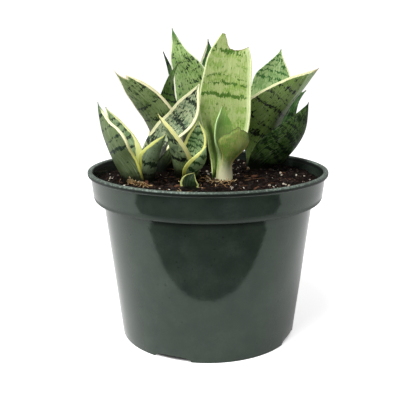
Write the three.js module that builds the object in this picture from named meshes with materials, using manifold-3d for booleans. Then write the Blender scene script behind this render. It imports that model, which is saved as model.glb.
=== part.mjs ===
// A variegated bird's nest snake plant growing in a six inch nursery pot.
// Millimetres, +Z up. The origin is the middle of the pot's foot, on the surface that it stands on.
// Azimuths are in degrees, anticlockwise seen from above: 0 is +X, 90 is +Y, and 270 is the front.
import * as THREE from "three";
import { mergeVertices } from "three/addons/utils/BufferGeometryUtils.js";
import Module from "manifold-3d";

const wasm = await Module();
wasm.setup();

// The pot is one thin moulded shell: a tapered wall, a ledge, and a wider band that ends in a lip.
const POT = {
  height: 108,
  footRadius: 56.8,
  ledgeRadius: 66.8,
  bandRadius: 72.7,
  bandTopRadius: 74.2,
  lipRadius: 76,
  bandHeight: 18.6,
  bandCorner: 3.4,
  lipHeight: 2.6,
  wall: 1.4,
  footHeight: 3,
  segments: 72,
};
// Low arched notches in the foot, each beside a drain hole in the floor.
const DRAIN = { count: 4, firstAzimuth: 247.6, width: 24, height: 2.7, holeRadius: 5, holeAt: 47 };

const GAP = 0.3; // clearance between pieces that touch
const SOIL = { top: 101.5, relief: 0.9, lump: 18, waves: 5, rings: 9, segments: 48, seed: 7 };
const GRAIN = { count: 34, smallest: 0.9, largest: 1.7, margin: 3 };
const WELL = { depth: 10, crownDepth: 11, segments: 20 };

// Where each rosette grows, and the radius of its crown.
const CROWNS = {
  left: { x: -41.5, y: -14, radius: 12 },
  middle: { x: -14.5, y: -5, radius: 9.6 },
  pale: { x: 9.5, y: -8, radius: 8.2 },
  right: { x: 35, y: 33, radius: 12 },
  back_left: { x: -27, y: 21, radius: 9.6 },
  back: { x: -8, y: 41, radius: 9.6 },
  pup: { x: -10.5, y: -43.5, radius: 6.4 },
};

// Each leaf grows from one side of its crown, at a distance (ring) from the crown's axis.
//   side    azimuth of that side; the foot of the leaf faces back across the crown
//   through points that the midrib passes above the soil, the last one is the tip
//   widths  of the blade laid flat, a quarter, a half and three quarters of the way to the tip
//   fold    how far each half is turned up from flat at foot, middle and tip, in degrees
//   twist   how far the blade turns about its midrib from foot to middle and from foot to tip, in degrees
//   lift    how much the inner face looks upwards
//   keel    1 is a round channel and 0.3 a sharp fold along the midrib
//   torn    where the tip is gone: pairs of a place across the blade, -1 to 1, and how far up it ends
const LEAVES = [
  {
    name: "left_outer_leaf_1", crown: "left", side: 222, ring: 10.6,
    through: [[-58.5, -20, 121], [-64, -17, 135], [-66.6, -14, 150.6]],
    widths: [29, 34.5, 20], fold: [62, 50, 40], twist: [-17, -22], lift: 0.4,
  },
  {
    name: "left_outer_leaf_2", crown: "left", side: 318, ring: 8,
    through: [[-33.2, -20.6, 112.5], [-30, -20.6, 121.5], [-25.3, -18.6, 132]],
    widths: [17.4, 23, 13], fold: [62, 60, 40], twist: [12, 12], lift: 0.6,
  },
  {
    name: "left_inner_leaf_1", crown: "left", side: 150, ring: 5.6,
    through: [[-48, -9, 118.6], [-56, -7, 132], [-63.4, -5, 146.7]],
    widths: [15, 15, 10], fold: [75, 45, 30], twist: [-15, -20], lift: 0.5,
  },
  {
    name: "left_inner_leaf_2", crown: "left", side: 60, ring: 8.2,
    through: [[-34.8, -3.4, 116.5], [-25.9, -0.5, 129], [-15, -2, 139.6], [-5, -4.7, 161.5]],
    widths: [16, 19, 17], fold: [34, 38, 30], twist: [20, 15], lift: 0.5,
  },
  {
    name: "middle_outer_leaf_1", crown: "middle", side: 225, ring: 5.6,
    through: [[-20.4, -18.6, 118.5], [-23.8, -26.9, 133.5], [-29.3, -31.4, 145.5]],
    widths: [24, 23, 12], fold: [70, 50, 40], twist: [-15, -20], lift: 0.3,
  },
  {
    name: "middle_outer_leaf_2", crown: "middle", side: 315, ring: 8.2,
    through: [[-6.7, -19.9, 110], [-2.9, -21.2, 117.5], [-0.8, -19.2, 125]],
    widths: [16.8, 18, 11], fold: [58, 42, 35], twist: [5, 5], lift: 0.4,
  },
  {
    name: "middle_inner_leaf", crown: "middle", side: 60, ring: 3,
    through: [[-10.4, -4.7, 115.5], [-6.9, -6.4, 127], [-5.8, -8, 139.4]],
    widths: [11.2, 14, 11], fold: [80, 35, 25], twist: [25, 25], lift: 0.3,
  },
  {
    name: "pale_back_leaf", crown: "pale", side: 100, ring: 6.6,
    through: [[7, 4, 117.5], [10.4, 6, 130], [10.6, 6, 150], [14.1, 4, 179], [19, 2, 202]],
    widths: [15.5, 29, 33.5, 33, 30.3, 26.5, 15], fold: [75, 25, 15], twist: [-10, -10], lift: 0,
    torn: [[-1, 0.875], [-0.75, 0.875], [-0.45, 0.852], [-0.25, 0.815], [-0.1, 0.795], [0.2, 0.792], [0.6, 0.8], [1, 0.828]],
  },
  {
    name: "pale_young_leaf", crown: "pale", side: 200, ring: 3.4,
    through: [[7.2, -7.8, 124], [7.7, -7.5, 136], [8.8, -6.5, 148]],
    widths: [11, 19, 15], fold: [70, 45, 35], twist: [-60, -60], lift: 0,
  },
  {
    name: "pale_broken_leaf", crown: "pale", side: 285, ring: 6.6,
    through: [[11.6, -16, 112], [14.8, -20, 124], [17, -20, 138], [17.6, -19, 150]],
    widths: [7.5, 20, 22], fold: [42, 40, 40], twist: [-10, -10], lift: 0,
    torn: [[-1, 0.56], [-0.6, 0.67], [-0.1, 0.71], [0.4, 0.62], [1, 0.5]],
  },
  {
    name: "right_front_leaf", crown: "right", side: 205, ring: 8,
    through: [[30.4, 27, 112], [36, 25, 125], [47, 24, 139.6], [59.5, 24, 154.4], [73, 26, 169.8]],
    widths: [42, 45.5, 28], fold: [40, 45, 40], twist: [100, 110], lift: 0.6, keel: 0.6,
  },
  {
    name: "right_back_leaf", crown: "right", side: 100, ring: 8,
    through: [[38.5, 54.4, 131], [42.8, 58, 148], [47.8, 57.8, 165], [51, 56, 181.5]],
    widths: [18, 23, 26.5], fold: [40, 30, 25], twist: [-18, -22], lift: 0.3,
  },
  {
    name: "right_side_leaf_1", crown: "right", side: 285, ring: 10.6,
    through: [[43.3, 19.3, 110], [53.3, 18.2, 117.5], [62.9, 22.2, 129], [67.6, 29.8, 147]],
    widths: [34, 36, 24], fold: [62, 45, 35], twist: [30, 30], lift: 0.5,
  },
  {
    name: "right_side_leaf_2", crown: "right", side: 28, ring: 8.2,
    through: [[54.3, 49.6, 132.6], [60.5, 49.4, 146.3], [68.5, 49.6, 153.7]],
    widths: [9, 14, 10], fold: [24, 35, 30], twist: [50, 50], lift: 0.5,
  },
  {
    name: "back_left_outer_leaf", crown: "back_left", side: 220, ring: 8.2,
    through: [[-29, 15, 123.5], [-32.5, 12, 138], [-40.5, 9, 149.8], [-49.6, 7, 159.5], [-59.5, 6, 169.3]],
    widths: [25, 23, 16.5], fold: [45, 25, 20], twist: [35, 35], lift: 0.5,
    torn: [[-1, 0.9], [-0.5, 0.88], [0.5, 1], [1, 1]],
  },
  {
    name: "back_left_inner_leaf", crown: "back_left", side: 75, ring: 5.6,
    through: [[-27, 31.5, 145.3], [-26, 30, 155.5], [-23.8, 27.5, 164.7], [-19.6, 25, 172.6]],
    widths: [20, 18, 7], fold: [75, 40, 30], twist: [15, -5], lift: 0.3,
  },
  {
    name: "back_tall_leaf", crown: "back", side: 260, ring: 8.2,
    through: [[-8.5, 34, 141], [-10.5, 33, 154], [-14.8, 32, 167], [-19.2, 31, 176], [-23.5, 30, 195]],
    widths: [25, 32, 20], fold: [62, 30, 30], twist: [-10, -20], lift: 0.2,
  },
  {
    name: "back_inner_leaf", crown: "back", side: 20, ring: 5.6,
    through: [[2.6, 48, 154], [0.8, 48, 174.4], [0, 46, 188.3]],
    widths: [18, 22, 17], fold: [75, 40, 30], twist: [60, 60], lift: 0.2,
  },
  {
    name: "back_far_leaf", crown: "back", side: 170, ring: 5.6,
    through: [[-20.5, 54.3, 133], [-22, 55.8, 151], [-27.8, 54, 171], [-31, 50, 180]],
    widths: [7, 6, 4.6], fold: [60, 45, 30], twist: [-60, -60], lift: 0.3,
  },
  {
    name: "back_outer_leaf", crown: "back", side: 60, ring: 8.2,
    through: [[-2, 54, 118], [2, 59, 135], [5, 61, 149]],
    widths: [26, 28, 20], fold: [50, 40, 30], twist: [5, 5], lift: 0.4,
  },
  {
    name: "back_left_low_leaf", crown: "back_left", side: 120, ring: 8.2,
    through: [[-33, 36, 115], [-36, 43, 126], [-37, 47, 133]],
    widths: [20, 20, 13], fold: [34, 40, 30], twist: [0, 0], lift: 0.4,
  },
  {
    name: "pup_leaf", crown: "pup", side: 90, ring: 5,
    through: [[-10, -39.5, 108], [-8, -40.5, 112.2]],
    widths: [12, 9.5, 5], fold: [65, 35, 25], twist: [-5, -5], lift: 0.3,
  },
];

// The blade: how finely it is divided, how thick its spine is at foot and middle and its margin all
// along, how wide its point is, how far above the soil it starts, and how sharp its fold is.
const BLADE = {
  stations: 12,
  columns: 6,
  root: 2.2,
  middle: 1.7,
  margin: 0.8,
  point: 0.9,
  emerge: 2,
  keel: 0.85,
};

const radians = THREE.MathUtils.degToRad;
const mix = THREE.MathUtils.lerp;
const clamp = THREE.MathUtils.clamp;
const UP = new THREE.Vector3(0, 0, 1);

const FINISHES = {
  pot: { color: "#3b4a42", roughness: 0.35 },
  soil: { color: "#2a1d16", roughness: 0.95 },
  crown: { color: "#c9b88c", roughness: 0.8 },
  leaf: { color: "#4f7347", roughness: 0.45 },
  paleLeaf: { color: "#9dbb6a", roughness: 0.45 },
};

// Turns a closed geometry into a solid that can be joined and cut.
function solid(geometry) {
  const bare = new THREE.BufferGeometry().setAttribute("position", geometry.getAttribute("position"));
  if (geometry.index) bare.setIndex(geometry.index);
  const merged = mergeVertices(bare, 1e-4);
  return new wasm.Manifold(
    new wasm.Mesh({
      numProp: 3,
      vertProperties: new Float32Array(merged.getAttribute("position").array),
      triVerts: new Uint32Array(merged.index.array),
    }),
  );
}

// Turns a solid back into a geometry.
function geometryOf(shape) {
  const mesh = shape.getMesh();
  return new THREE.BufferGeometry()
    .setAttribute("position", new THREE.BufferAttribute(mesh.vertProperties, 3))
    .setIndex(new THREE.BufferAttribute(mesh.triVerts, 1));
}

// A solid of revolution about Z from [radius, height] points, listed from the bottom up on the outside.
function turned(profile, segments) {
  const points = profile.map(([radius, height]) => new THREE.Vector2(radius, height));
  return new THREE.LatheGeometry(points, segments).rotateX(Math.PI / 2);
}

// The inside of the pot, from the floor up to the lip, moved in by a clearance.
function potInside(clearance) {
  const { height, footRadius, ledgeRadius, bandRadius, bandTopRadius, wall } = POT;
  const ledgeHeight = height - POT.bandHeight;
  const inset = wall + clearance;
  return [
    [footRadius - inset, POT.footHeight + inset],
    [ledgeRadius - inset, ledgeHeight + inset],
    [bandRadius - POT.bandCorner - clearance, ledgeHeight + inset],
    [bandRadius - inset, ledgeHeight + POT.bandCorner + clearance],
    [bandTopRadius - inset, height],
  ];
}

function potGeometry() {
  const { height, footRadius, ledgeRadius, bandRadius, bandTopRadius, lipRadius, wall } = POT;
  const ledgeHeight = height - POT.bandHeight;
  const lipBase = height - POT.lipHeight;
  const corner = POT.bandCorner;
  const bandCurve = [0, 30, 60, 90].map((degrees) => [
    bandRadius - corner * (1 - Math.sin(radians(degrees))),
    ledgeHeight + corner * (1 - Math.cos(radians(degrees))),
  ]);
  const outside = [
    [0, POT.footHeight],
    [footRadius - wall, POT.footHeight],
    [footRadius - wall, 0],
    [footRadius - 0.4, 0],
    [footRadius, 0.5],
    [ledgeRadius, ledgeHeight],
    ...bandCurve,
    [bandTopRadius, lipBase - 0.6],
    [lipRadius - 0.3, lipBase],
    [lipRadius, lipBase + 0.6],
    [lipRadius, height - 0.6],
    [lipRadius - 0.6, height],
  ];
  const profile = [...outside, ...potInside(0).reverse(), [0, POT.footHeight + wall]];
  const shell = solid(turned(profile, POT.segments));
  const cuts = [];
  for (let i = 0; i < DRAIN.count; i++) {
    const azimuth = radians(DRAIN.firstAzimuth + (360 / DRAIN.count) * i);
    const notch = new THREE.CylinderGeometry(1, 1, 16, 24).rotateZ(Math.PI / 2);
    notch.scale(1, DRAIN.width / 2, DRAIN.height).translate(footRadius, 0, 0);
    const hole = new THREE.CylinderGeometry(DRAIN.holeRadius, DRAIN.holeRadius, 12, 16);
    hole.rotateX(Math.PI / 2).translate(DRAIN.holeAt, 0, POT.footHeight);
    cuts.push(solid(notch.rotateZ(azimuth)), solid(hole.rotateZ(azimuth)));
  }
  return geometryOf(cuts.reduce((pot, cut) => pot.subtract(cut), shell));
}

// A run of numbers from 0 to 1 that is the same each time.
function seededRandom(seed) {
  let state = seed;
  return () => {
    state = (state * 1664525 + 1013904223) % 4294967296;
    return state / 4294967296;
  };
}

// How far the soil's top rises or sinks at a place: waves of about a lump's length that cross each other.
function soilRelief(random) {
  const waves = Array.from({ length: SOIL.waves }, () => {
    const azimuth = 2 * Math.PI * random();
    const turn = (2 * Math.PI) / mix(SOIL.lump, 2 * SOIL.lump, random());
    return [turn * Math.cos(azimuth), turn * Math.sin(azimuth), 2 * Math.PI * random()];
  });
  return (x, y) => {
    const sum = waves.reduce((total, [a, b, phase]) => total + Math.sin(a * x + b * y + phase), 0);
    return (SOIL.relief * sum) / Math.sqrt(SOIL.waves);
  };
}

// The potting mix: it fills the pot, its top is lumpy, and white grains stand out of it.
function soilGeometry() {
  const random = seededRandom(SOIL.seed);
  const relief = soilRelief(random);
  const { segments } = SOIL;
  const body = potInside(GAP).slice(0, 4);
  const topRadius = body[3][0] + 0.6;
  const loops = [...body, [topRadius, SOIL.top]];
  for (let i = SOIL.rings - 1; i >= 1; i--) loops.push([(topRadius * i) / SOIL.rings, SOIL.top, true]);
  const positions = [0, 0, body[0][1]];
  for (const [radius, height, lumpy] of loops) {
    for (let j = 0; j < segments; j++) {
      const angle = (2 * Math.PI * j) / segments;
      const x = radius * Math.cos(angle);
      const y = radius * Math.sin(angle);
      positions.push(x, y, lumpy ? height + relief(x, y) : height);
    }
  }
  positions.push(0, 0, SOIL.top + relief(0, 0));
  const last = positions.length / 3 - 1;
  const index = [];
  for (let j = 0; j < segments; j++) {
    const next = (j + 1) % segments;
    index.push(0, 1 + next, 1 + j);
    for (let i = 0; i < loops.length - 1; i++) {
      const low = 1 + i * segments;
      const high = low + segments;
      index.push(low + j, low + next, high + next, low + j, high + next, high + j);
    }
    const top = 1 + (loops.length - 1) * segments;
    index.push(top + j, top + next, last);
  }
  const geometry = new THREE.BufferGeometry()
    .setAttribute("position", new THREE.Float32BufferAttribute(positions, 3))
    .setIndex(index);
  let soil = solid(geometry);
  for (let i = 0; i < GRAIN.count; i++) {
    const size = mix(GRAIN.smallest, GRAIN.largest, random());
    const away = (topRadius - GRAIN.margin) * Math.sqrt(random());
    const angle = 2 * Math.PI * random();
    const x = away * Math.cos(angle);
    const y = away * Math.sin(angle);
    const grain = new THREE.OctahedronGeometry(size).rotateX(3 * random()).rotateZ(3 * random());
    soil = soil.add(solid(grain.translate(x, y, SOIL.top + relief(x, y))));
  }
  for (const { x, y, radius } of Object.values(CROWNS)) {
    const depth = WELL.depth + WELL.crownDepth + GAP;
    const well = new THREE.CylinderGeometry(radius + GAP, radius + GAP, depth + 10, WELL.segments);
    well.rotateX(Math.PI / 2).translate(x, y, SOIL.top + 5 - depth / 2);
    soil = soil.subtract(solid(well));
  }
  // A grain at the edge of a well may lose its hold, so only the block itself is kept.
  const [block] = soil.decompose().sort((a, b) => b.volume() - a.volume());
  return geometryOf(block);
}

// A crown is the short stem below the soil that a rosette's leaves grow from.
function crownGeometry({ x, y, radius }) {
  const top = SOIL.top - WELL.depth - GAP;
  const profile = [
    [0, top - WELL.crownDepth + GAP],
    [radius * 0.5, top - WELL.crownDepth + GAP],
    [radius * 0.9, top - WELL.crownDepth * 0.6],
    [radius, top - WELL.crownDepth * 0.2],
    [radius * 0.94, top],
    [0, top],
  ];
  return turned(profile, WELL.segments).translate(x, y, 0);
}

// Values given at even steps from foot to tip, read at s from 0 to 1 along a smooth curve.
function along(values, s) {
  const curve = new THREE.SplineCurve(values.map((value, i) => new THREE.Vector2(i, value)));
  return curve.getPoint(s).y;
}

// The midrib, from the crown up through the soil to the tip.
function midrib(leaf) {
  const crown = CROWNS[leaf.crown];
  const x = crown.x + leaf.ring * Math.cos(radians(leaf.side));
  const y = crown.y + leaf.ring * Math.sin(radians(leaf.side));
  const points = [
    new THREE.Vector3(x, y, SOIL.top - WELL.depth),
    new THREE.Vector3(x, y, SOIL.top + BLADE.emerge),
    ...leaf.through.map((point) => new THREE.Vector3(...point)),
  ];
  return new THREE.CatmullRomCurve3(points, false, "centripetal");
}

// The foot of a leaf clasps its crown, so its width follows from the ring and the fold.
function halfWidth(leaf, s) {
  const clasp = 2 * leaf.ring * radians(leaf.fold[0]);
  return Math.max(along([clasp, ...leaf.widths, 0], s), BLADE.point) / 2;
}

// How far up the blade reaches at a place across it: 1 is the tip.
function reach(leaf, v) {
  if (!leaf.torn) return 1;
  const i = leaf.torn.findIndex(([place]) => place >= v);
  if (i <= 0) return leaf.torn[0][1];
  const [[v0, s0], [v1, s1]] = [leaf.torn[i - 1], leaf.torn[i]];
  return mix(s0, s1, (v - v0) / (v1 - v0));
}

// Where the middle of the blade runs at s and v: across, towards the inner face, and its turn.
function section(leaf, s, v) {
  const steps = 12;
  const fold = radians(along(leaf.fold, s));
  const keel = mix(1, leaf.keel ?? BLADE.keel, Math.min(1, 2 * s));
  const half = halfWidth(leaf, s);
  let across = 0;
  let rise = 0;
  for (let i = 0; i < steps; i++) {
    const turn = fold * (((i + 0.5) / steps) * Math.abs(v)) ** keel;
    across += (half * v * Math.cos(turn)) / steps;
    rise += (half * Math.abs(v) * Math.sin(turn)) / steps;
  }
  return [across, rise, Math.sign(v) * fold * Math.abs(v) ** keel];
}

// The points of the inner and outer face of a leaf at v across it and s along it: 0 is where it
// leaves the soil, and its foot on the crown is at -1.
function bladePoints(leaf, curve, s, v) {
  const buried = (WELL.depth + BLADE.emerge) / curve.getLength();
  const centre = curve.getPointAt(s < 0 ? 0 : mix(buried, 1, s));
  const forward = curve.getTangentAt(mix(buried, 1, Math.max(0, s))).lerp(UP, clamp(1 - 5 * s, 0, 1));
  const azimuth = radians(leaf.side + 180 + along([0, ...leaf.twist], Math.max(0, s)));
  const inward = new THREE.Vector3(Math.cos(azimuth), Math.sin(azimuth), leaf.lift * clamp(3 * s, 0, 1));
  forward.normalize();
  inward.addScaledVector(forward, -inward.dot(forward)).normalize();
  const sideways = new THREE.Vector3().crossVectors(forward, inward);
  const [across, rise, turn] = section(leaf, Math.max(0, s), v);
  const middle = centre.clone().addScaledVector(sideways, across).addScaledVector(inward, rise);
  const normal = sideways.clone().multiplyScalar(-Math.sin(turn)).addScaledVector(inward, Math.cos(turn));
  const spine = along([BLADE.root, BLADE.middle, BLADE.margin], Math.max(0, s));
  const thickness = mix(spine, BLADE.margin, v * v);
  return [thickness / 2, -thickness / 2].map((offset) => middle.clone().addScaledVector(normal, offset));
}

// A leaf is a closed blade: rings of points round its inner and outer faces, joined along the midrib.
function leafGeometry(leaf) {
  const curve = midrib(leaf);
  const { stations, columns } = BLADE;
  const positions = [];
  for (let i = 0; i <= stations; i++) {
    const faces = [[], []];
    for (let j = 0; j <= columns; j++) {
      const v = (2 * j) / columns - 1;
      const s = i === 0 ? -1 : ((i - 1) / (stations - 1)) * reach(leaf, v);
      const [inner, outer] = bladePoints(leaf, curve, s, v);
      faces[0].push(inner);
      faces[1].unshift(outer);
    }
    for (const point of faces.flat()) positions.push(point.x, point.y, point.z);
  }
  const ring = 2 * (columns + 1);
  const index = [];
  for (let i = 0; i < stations; i++) {
    for (let j = 0; j < ring; j++) {
      const next = (j + 1) % ring;
      const [a, b, c, d] = [i * ring + j, i * ring + next, (i + 1) * ring + next, (i + 1) * ring + j];
      if (j <= columns) index.push(a, b, c, a, c, d);
      else index.push(a, b, d, b, c, d);
    }
  }
  const end = stations * ring;
  for (let j = 0; j < columns; j++) {
    const across = ring - 1 - j;
    index.push(j, across - 1, j + 1, j, across, across - 1);
    index.push(end + j, end + j + 1, end + across - 1, end + j, end + across - 1, end + across);
  }
  return new THREE.BufferGeometry()
    .setAttribute("position", new THREE.Float32BufferAttribute(positions, 3))
    .setIndex(index);
}

const plant = new THREE.Group();
function place(name, geometry, finish) {
  const mesh = new THREE.Mesh(geometry, new THREE.MeshStandardMaterial(finish));
  mesh.name = name;
  plant.add(mesh);
}

place("pot", potGeometry(), FINISHES.pot);
place("soil", soilGeometry(), FINISHES.soil);
for (const [name, crown] of Object.entries(CROWNS)) {
  place(`${name}_crown`, crownGeometry(crown), FINISHES.crown);
}
for (const leaf of LEAVES) {
  const pale = leaf.crown === "pale";
  place(leaf.name, leafGeometry(leaf), pale ? FINISHES.paleLeaf : FINISHES.leaf);
}

export default plant;
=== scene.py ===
import functools
import random
from math import atan2, ceil, cos, degrees, hypot, pi, radians, sin, sqrt

import bmesh
import bpy
import numpy as np
from mathutils import Matrix, Vector, noise


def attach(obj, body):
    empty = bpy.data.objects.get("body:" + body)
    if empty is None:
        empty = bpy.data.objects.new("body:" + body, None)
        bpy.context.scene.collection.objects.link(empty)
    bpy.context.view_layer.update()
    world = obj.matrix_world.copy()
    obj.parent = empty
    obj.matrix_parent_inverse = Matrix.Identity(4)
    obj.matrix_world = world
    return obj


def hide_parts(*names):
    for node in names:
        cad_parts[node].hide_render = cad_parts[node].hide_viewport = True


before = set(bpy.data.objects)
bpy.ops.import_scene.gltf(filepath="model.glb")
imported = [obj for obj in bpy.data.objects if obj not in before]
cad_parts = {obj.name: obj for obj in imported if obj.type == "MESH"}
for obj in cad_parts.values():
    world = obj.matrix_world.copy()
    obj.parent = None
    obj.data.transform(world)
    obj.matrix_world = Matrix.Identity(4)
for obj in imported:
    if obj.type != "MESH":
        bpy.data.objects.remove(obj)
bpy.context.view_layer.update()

# A compact snake plant in its nursery pot. Sizes are in millimetres until a mesh is made, and the
# blades, the soil and the pot keep the form of the solids that they stand for.


# ---- Pot ----
# The pot is one thin shell of moulded polypropylene: a tapered wall, a ledge for stacking, and a
# wider band that ends in a round lip. It stands on a foot ring with four arched drain notches, and
# a drain hole lies inside of each notch. The mould leaves a satin gloss and a faint orange peel.
MM = 0.001
POT_PROFILE = [  # radius, height and corner radius, from the middle of the underside round to the floor
    (0, 3, 0), (55.4, 3, 0.5), (55.4, 0, 0.3), (56.8, 0, 0.45), (66.8, 89.4, 0.9), (72.5, 89.4, 3.3),
    (74.2, 105.1, 0.5), (76, 105.5, 0.8), (76, 108, 1), (73, 108, 0.9), (71.3, 92.6, 2),
    (69.6, 90.8, 1.5), (65.4, 90.8, 1.2), (55.4, 4.4, 1), (0, 4.4, 0),
]
POT_SEGMENTS, LONGEST_ROW = 288, 6
FOOT_RING = {"inside": 54, "wall": 55.6, "floor": 3}
NOTCH = {"count": 4, "first": 247.6, "width": 24, "height": 2.7, "fades_at": 9}
DRAIN_HOLE = {"radius": 5, "at": 47, "low": 1, "high": 7, "sides": 40}
LIP_PAINTED_SHADE, LEDGE_PAINTED_SHADE = (104.6, 105.5, 106.8, 107.3, 1), (84.5, 88.8, 89.8, 90.8, 0.8)
ROUGH_LEDGE, ROUGH_LIP, LIP_WEAR_AND_HIGHLIGHT = (88.6, 89.4, 91, 94.5, 0.45), (104.4, 105.4), (106.9, 107.5)


def rounded_outline(corners, steps=6):
    """The outline through the corners, each rounded off over its own radius."""
    outline = [np.array(corners[0][:2], float)]
    for before, (x, y, radius), after in zip(corners, corners[1:], corners[2:]):
        corner = np.array([x, y], float)
        way_in = np.array(before[:2], float) - corner
        way_out = np.array(after[:2], float) - corner
        start = corner + way_in * min(0.45, radius / np.linalg.norm(way_in))
        end = corner + way_out * min(0.45, radius / np.linalg.norm(way_out))
        for t in np.linspace(0, 1, steps):
            outline.append(start * (1 - t) ** 2 + corner * 2 * t * (1 - t) + end * t * t)
    outline.append(np.array(corners[-1][:2], float))
    return outline


def with_rows_between(outline, longest):
    """The same outline with its long straight stretches divided."""
    rows = [outline[0]]
    for a, b in zip(outline, outline[1:]):
        pieces = max(1, ceil(np.linalg.norm(b - a) / longest))
        rows += [a + (b - a) * k / pieces for k in range(1, pieces + 1)]
    return rows


def mesh_in_mm(name, points, faces):
    mesh = bpy.data.meshes.new(name)
    mesh.from_pydata((np.array(points, float) * MM).tolist(), [], faces)
    return mesh


def turned_mesh(name, rows, segments, placed):
    """A closed turned mesh. A row is a radius, a height and a turn in steps, the first and last row
    are on the axis, and placed says where a point really goes."""
    points = [placed(0, 0, rows[0][1])]
    for radius, height, turn in rows[1:-1]:
        for k in range(segments):
            angle = 2 * pi * (k + turn) / segments
            points.append(placed(radius * cos(angle), radius * sin(angle), height))
    points.append(placed(0, 0, rows[-1][1]))
    last = 1 + (len(rows) - 3) * segments
    faces = []
    for k in range(segments):
        after = (k + 1) % segments
        faces.append((0, 1 + after, 1 + k))
        for low in range(1, last, segments):
            faces.append((low + k, low + after, low + segments + after, low + segments + k))
        faces.append((last + k, last + after, last + segments))
    return mesh_in_mm(name, points, faces)


def put_in_scene(name, data):
    thing = bpy.data.objects.new(name, data)
    bpy.context.scene.collection.objects.link(thing)
    return thing


def add_piece(name, mesh, sharp=35):
    """Puts a mesh in the scene as a piece that stands with the plant's one body."""
    mesh.validate()
    mesh.shade_smooth()
    mesh.set_sharp_from_angle(angle=radians(sharp))
    piece = put_in_scene(name, mesh)
    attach(piece, "root")
    return piece


def arched_foot(x, y, z):
    """Lifts the foot ring where a drain notch runs under it."""
    radius = hypot(x, y)
    if radius < FOOT_RING["inside"] or z >= NOTCH["fades_at"]:
        return x, y, z
    step = 360 / NOTCH["count"]
    off = (degrees(atan2(y, x)) - NOTCH["first"] + step / 2) % step - step / 2
    place = abs(radians(off)) * radius / (NOTCH["width"] / 2)
    arch = NOTCH["height"] * sqrt(max(0, 1 - place ** 4))
    top = FOOT_RING["floor"] if radius < FOOT_RING["wall"] else NOTCH["fades_at"]
    return x, y, arch + z * (top - arch) / top if z < top else z


def drill(turn):
    """A round tool through the floor of the pot, inside of the notch at that turn."""
    form = bmesh.new()
    middle = (DRAIN_HOLE["low"] + DRAIN_HOLE["high"]) / 2
    place = Vector((DRAIN_HOLE["at"] * cos(turn), DRAIN_HOLE["at"] * sin(turn), middle)) * MM
    radius, depth = DRAIN_HOLE["radius"] * MM, (DRAIN_HOLE["high"] - DRAIN_HOLE["low"]) * MM
    bmesh.ops.create_cone(form, cap_ends=True, segments=DRAIN_HOLE["sides"], radius1=radius, radius2=radius,
                          depth=depth, matrix=Matrix.Translation(place))
    mesh = bpy.data.meshes.new("drill")
    form.to_mesh(mesh)
    form.free()
    return put_in_scene("drill", mesh)


def cut(mesh, tools):
    """The mesh with the tools taken away."""
    blank = put_in_scene("blank", mesh)
    for tool in tools:
        modifier = blank.modifiers.new("cut", "BOOLEAN")
        modifier.operation = "DIFFERENCE"
        modifier.solver = "EXACT"
        modifier.object = tool
    result = bpy.data.meshes.new_from_object(blank.evaluated_get(bpy.context.evaluated_depsgraph_get()))
    for used in [blank, *tools]:
        bpy.data.objects.remove(used)
    return result


pot_rows = [(*row, 0) for row in with_rows_between(rounded_outline(POT_PROFILE), LONGEST_ROW)]
pot_blank = turned_mesh("nursery_pot", pot_rows, POT_SEGMENTS, arched_foot)
drills = [drill(radians(NOTCH["first"] + 360 / NOTCH["count"] * k)) for k in range(NOTCH["count"])]
pot = add_piece("nursery_pot", cut(pot_blank, drills))
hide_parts("pot")


def paint(code):
    """The colour of a hex code, as linear light."""
    values = [int(code[k:k + 2], 16) / 255 for k in (1, 3, 5)]
    return (*[v / 12.92 if v <= 0.04045 else ((v + 0.055) / 1.055) ** 2.4 for v in values], 1)


def feed(socket, value):
    """Links what feeds a socket, or sets the socket's own number or colour."""
    if isinstance(value, bpy.types.NodeSocket):
        value.id_data.links.new(value, socket)
    else:
        socket.default_value = paint(value) if isinstance(value, str) else value


def shade(tree, kind, inputs=None, out=0, **settings):
    """Adds a shader node, sets it up, feeds its inputs and gives one of its outputs."""
    node = tree.nodes.new("ShaderNode" + kind)
    for key, value in settings.items():
        setattr(node, key, value)
    for key, value in (inputs or {}).items():
        feed(node.inputs[key], value)
    return node.outputs[out]


def calc(operation, *values, clamp=False):
    """One step of arithmetic, in the tree of whichever value is a socket."""
    tree = next(value.id_data for value in values if isinstance(value, bpy.types.NodeSocket))
    return shade(tree, "Math", dict(enumerate(values)), operation=operation, use_clamp=clamp)


def plus(*values):
    return functools.reduce(functools.partial(calc, "ADD"), values)


minus, times, larger = (functools.partial(calc, kind) for kind in ("SUBTRACT", "MULTIPLY", "MAXIMUM"))


def ramp(value, low, high, bottom=0, top=1):
    """Rises smoothly from bottom to top while the value goes from low to high."""
    return shade(value.id_data, "MapRange", interpolation_type="SMOOTHSTEP", inputs={
        "Value": value, "From Min": low, "From Max": high, "To Min": bottom, "To Max": top})


def cover(amount, under, over):
    """Lays one colour over another by an amount."""
    return shade(amount.id_data, "Mix", {0: amount, 6: under, 7: over}, out=2, data_type="RGBA")


def grain(place, scale, detail=2, roughness=0.55):
    return shade(place.id_data, "TexNoise", {
        "Vector": place, "Scale": scale, "Detail": detail, "Roughness": roughness})


def new_group(name, takes, gives):
    """An empty shader group with named sockets: the tree, what comes in, and what goes out."""
    tree = bpy.data.node_groups.new(name, "ShaderNodeTree")
    for label, value in takes.items():
        kind, value = ("Color", paint(value)) if isinstance(value, str) else ("Float", value)
        socket = tree.interface.new_socket(label, in_out="INPUT", socket_type="NodeSocket" + kind)
        socket.default_value = value
    for label in gives:
        kind = "Color" if label == "Colour" else "Float"
        tree.interface.new_socket(label, in_out="OUTPUT", socket_type="NodeSocket" + kind)
    return tree, tree.nodes.new("NodeGroupInput").outputs, tree.nodes.new("NodeGroupOutput").inputs


def use_group(tree, group, inputs):
    return shade(tree, "Group", inputs, node_tree=group).node.outputs


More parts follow.
